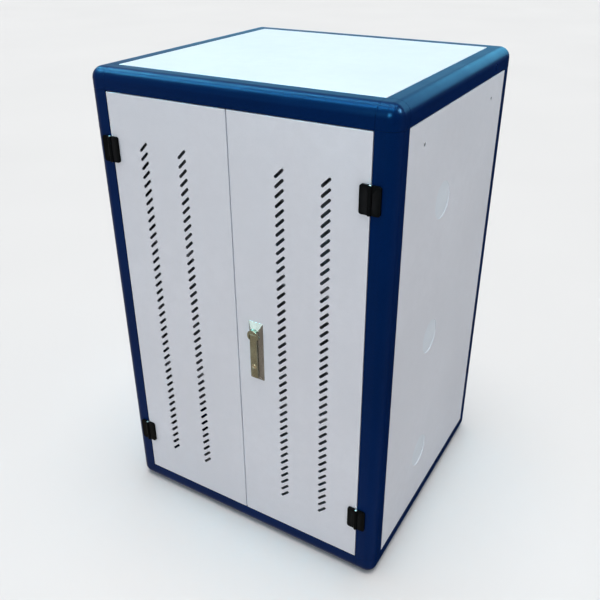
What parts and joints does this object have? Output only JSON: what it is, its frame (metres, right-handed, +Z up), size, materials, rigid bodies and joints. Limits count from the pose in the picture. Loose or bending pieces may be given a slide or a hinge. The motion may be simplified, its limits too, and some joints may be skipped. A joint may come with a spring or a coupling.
{
  "type": "battery box",
  "caption": "Free-standing battery cabinet with a rounded blue tube frame, flush white panels, louvred double doors on block hinges and a swing-handle rod lock.",
  "frame": {"origin": "underside of the base plate, at the centre of the frame's plan", "axes": "+X to the right as seen from the front, +Y from the doors to the back, +Z up"},
  "size_m": [0.7, 0.6646, 1.1],
  "materials": {
    "frame_paint": "semi-gloss powder coat",
    "corner_paint": "semi-gloss powder coat",
    "panel_paint": "fine-texture powder coat",
    "plug_plastic": "matte",
    "plated_steel": "zinc plated",
    "screw_steel": "zinc plated",
    "hinge_black": "satin black",
    "foam": "closed-cell foam",
    "guide_plastic": "matte",
    "rod_steel": "zinc plated",
    "lock_zinc": "satin chrome plate on die-cast zinc",
    "handle_zinc": "darker satin plate on die-cast zinc",
    "key_steel": "satin"
  },
  "bodies": {
    "cabinet": {"front_left_post": "frame_paint", "front_right_post": "frame_paint", "back_left_post": "frame_paint", "back_right_post": "frame_paint", "front_top_rail": "frame_paint", "back_top_rail": "frame_paint", "left_top_rail": "frame_paint", "right_top_rail": "frame_paint", "front_bottom_rail": "frame_paint", "back_bottom_rail": "frame_paint", "left_bottom_rail": "frame_paint", "right_bottom_rail": "frame_paint", "front_left_top_corner": "corner_paint", "front_right_top_corner": "corner_paint", "back_left_top_corner": "corner_paint", "back_right_top_corner": "corner_paint", "front_left_bottom_corner": "corner_paint", "front_right_bottom_corner": "corner_paint", "back_left_bottom_corner": "corner_paint", "back_right_bottom_corner": "corner_paint", "top_panel": "panel_paint", "left_side_panel": "panel_paint", "right_side_panel": "panel_paint", "back_panel": "panel_paint", "base_plate": "panel_paint", "left_hole_plugs": "plug_plastic", "right_hole_plugs": "plug_plastic", "shelf_uprights": "plated_steel", "shelf_rails": "plated_steel", "lower_shelf": "panel_paint", "upper_shelf": "panel_paint", "left_frame_hinge_leaves": "hinge_black", "right_frame_hinge_leaves": "hinge_black", "left_hinge_pins": "screw_steel", "right_hinge_pins": "screw_steel", "frame_screws": "screw_steel"},
    "left_leaf": {"left_door": "panel_paint", "left_door_stiffener": "panel_paint", "left_door_seal": "foam", "left_door_hinge_leaves": "hinge_black", "left_door_screws": "screw_steel", "left_bolt_guides": "guide_plastic"},
    "upper_bolt": {"left_upper_bolt": "rod_steel"},
    "lower_bolt": {"left_lower_bolt": "rod_steel"},
    "right_leaf": {"right_door": "panel_paint", "right_door_stiffener": "panel_paint", "right_door_seal": "foam", "right_door_hinge_leaves": "hinge_black", "right_door_screws": "screw_steel", "lock_base": "lock_zinc", "lock_case": "plated_steel", "lock_rod_guides": "guide_plastic"},
    "turning_head": {"lock_spindle": "handle_zinc", "lock_gear": "rod_steel", "handle_pin": "screw_steel"},
    "lever": {"lock_lever": "handle_zinc"},
    "key": {"key_cylinder": "key_steel"},
    "upper_rod": {"upper_lock_rod": "rod_steel"},
    "lower_rod": {"lower_lock_rod": "rod_steel"}
  },
  "joints": [
    {"name": "left_door_swing", "type": "hinge", "parent": "cabinet", "child": "left_leaf", "pos_m": [-0.3041, -0.3295, 0.55], "axis": [0, 0, -1], "range_deg": [0, 120]},
    {"name": "right_door_swing", "type": "hinge", "parent": "cabinet", "child": "right_leaf", "pos_m": [0.3041, -0.3295, 0.55], "axis": [0, 0, 1], "range_deg": [0, 120]},
    {"name": "handle_turn", "type": "hinge", "parent": "right_leaf", "child": "turning_head", "pos_m": [0.05, -0.3353, 0.578], "axis": [0, -1, 0], "range_deg": [0, 90]},
    {"name": "handle_lift", "type": "hinge", "parent": "turning_head", "child": "lever", "pos_m": [0.05, -0.3353, 0.579], "axis": [-1, 0, 0], "range_deg": [0, 30]},
    {"name": "key_turn", "type": "hinge", "parent": "lever", "child": "key", "pos_m": [0.05, -0.3353, 0.5], "axis": [0, -1, 0], "range_deg": [0, 90]},
    {"name": "upper_rod_slide", "type": "slide", "parent": "right_leaf", "child": "upper_rod", "axis": [0, 0, -1], "range_m": [0, 0.017]},
    {"name": "lower_rod_slide", "type": "slide", "parent": "right_leaf", "child": "lower_rod", "axis": [0, 0, 1], "range_m": [0, 0.017]},
    {"name": "left_upper_bolt_slide", "type": "slide", "parent": "left_leaf", "child": "upper_bolt", "axis": [0, 0, 1], "range_m": [0, 0.012]},
    {"name": "left_lower_bolt_slide", "type": "slide", "parent": "left_leaf", "child": "lower_bolt", "axis": [0, 0, -1], "range_m": [0, 0.012]}
  ],
  "couplings": [
    {"joint": "upper_rod_slide", "follows": "handle_turn", "m_per_rad": 0.0108},
    {"joint": "lower_rod_slide", "follows": "handle_turn", "m_per_rad": 0.0108}
  ]
}
